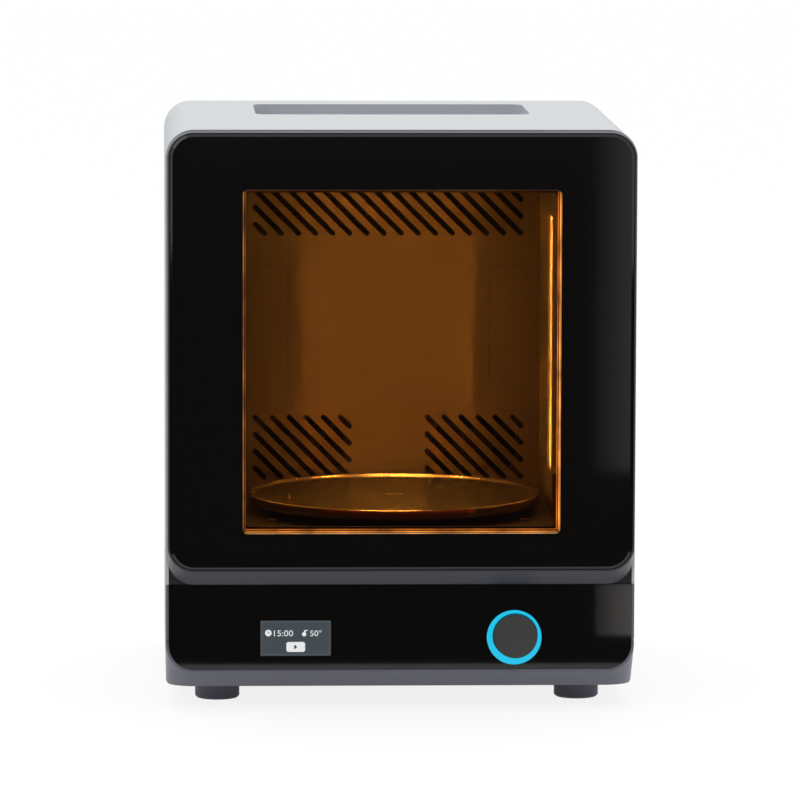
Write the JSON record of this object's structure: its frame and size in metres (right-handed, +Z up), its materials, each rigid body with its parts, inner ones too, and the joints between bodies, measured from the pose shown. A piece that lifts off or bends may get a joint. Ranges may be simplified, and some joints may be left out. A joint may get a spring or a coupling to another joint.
{
  "type": "dental lab light curing unit",
  "caption": "Bench curing cabinet with a hinged black glass door and amber window, a round turntable between side light panels, and a push-and-turn knob.",
  "frame": {"origin": "centre of the outline seen from above, on the table under the feet", "axes": "+Z up, -Y towards the user in front of the door, +X to the user's right"},
  "size_m": [0.292, 0.286, 0.3625],
  "materials": {
    "white_shell": "satin",
    "grey_shell": "satin",
    "matte_black": "matte",
    "gloss_black": "gloss",
    "display": "gloss",
    "ring_light": "satin",
    "knob": "satin",
    "amber": "clear",
    "chamber": "satin",
    "turntable": "satin",
    "steel": "satin",
    "aluminium": "brushed",
    "brass": "satin",
    "rubber": "matte",
    "pcb": "satin",
    "white_plastic": "matte",
    "led_board": "satin",
    "led_chip": "satin"
  },
  "bodies": {
    "case": {"top_cover": "white_shell", "front_bezel": "white_shell", "front_plate": "matte_black", "lower_shell": "grey_shell", "base_tray": "grey_shell", "rear_panel": "grey_shell", "control_panel": "gloss_black", "panel_carrier": "matte_black", "display_module": "display", "light_ring": "ring_light", "encoder_body": "steel", "control_board": "pcb", "hinge_brackets": "steel", "catch_plates": "steel", "chamber_back": "chamber", "chamber_left": "chamber", "chamber_right": "chamber", "chamber_floor": "chamber", "chamber_roof": "chamber", "chassis_deck": "steel", "sensor_bracket": "steel", "light_boxes": "white_plastic", "led_boards": "led_board", "led_chips": "led_chip", "heat_sinks": "aluminium", "turntable_bush": "brass", "gear_motor": "steel", "motor_standoffs": "brass", "fan_frames": "matte_black", "heater": "aluminium", "air_duct": "matte_black", "exhaust_frame": "matte_black", "fan_guard": "steel", "power_inlet": "matte_black", "inlet_pins": "brass", "switch_body": "matte_black", "power_supply": "aluminium", "main_board": "pcb", "board_standoffs": "brass", "feet": "rubber", "foot_screws": "steel", "chassis_screws": "steel", "rear_screws": "steel"},
    "door": {"door_frame": "grey_shell", "door_glass": "gloss_black", "door_window": "amber", "door_liner": "matte_black", "door_seal": "rubber", "hinge_pins": "brass", "door_magnets": "steel"},
    "turntable": {"turntable": "turntable", "turntable_screw": "steel", "turntable_shaft": "steel"},
    "fan_left": {"fan_rotor_left": "matte_black"},
    "fan_right": {"fan_rotor_right": "matte_black"},
    "exhaust_fan": {"exhaust_rotor": "matte_black"},
    "plunger": {"push_plunger": "matte_black"},
    "knob": {"knob": "knob", "encoder_shaft": "steel"},
    "rocker": {"switch_rocker": "matte_black"}
  },
  "joints": [
    {"name": "door_hinge", "type": "hinge", "parent": "case", "child": "door", "pos_m": [-0.1395, -0.1375, 0.22], "axis": [0, 0, -1], "range_deg": [0, 100]},
    {"name": "turntable_spin", "type": "hinge", "parent": "case", "child": "turntable", "pos_m": [0, -0.0295, 0.1227], "axis": [0, 0, 1], "continuous": true},
    {"name": "fan_left_spin", "type": "hinge", "parent": "case", "child": "fan_left", "pos_m": [-0.0562, 0.0787, 0.14035], "axis": [0, 1, 0], "continuous": true},
    {"name": "fan_right_spin", "type": "hinge", "parent": "case", "child": "fan_right", "pos_m": [0.0562, 0.0787, 0.14035], "axis": [0, 1, 0], "continuous": true},
    {"name": "exhaust_fan_spin", "type": "hinge", "parent": "case", "child": "exhaust_fan", "pos_m": [0, 0.126, 0.225], "axis": [0, 1, 0], "continuous": true},
    {"name": "knob_push", "type": "slide", "parent": "case", "child": "plunger", "axis": [0, 1, 0], "range_m": [0, 0.0006], "stiffness_N_per_m": 600, "springref_m": -0.004},
    {"name": "knob_turn", "type": "hinge", "parent": "plunger", "child": "knob", "pos_m": [0.0717, -0.133, 0.0463], "axis": [0, -1, 0], "continuous": true},
    {"name": "rocker_tilt", "type": "hinge", "parent": "case", "child": "rocker", "pos_m": [-0.048, 0.1366, 0.062], "axis": [1, 0, 0], "range_deg": [0, 18]}
  ]
}
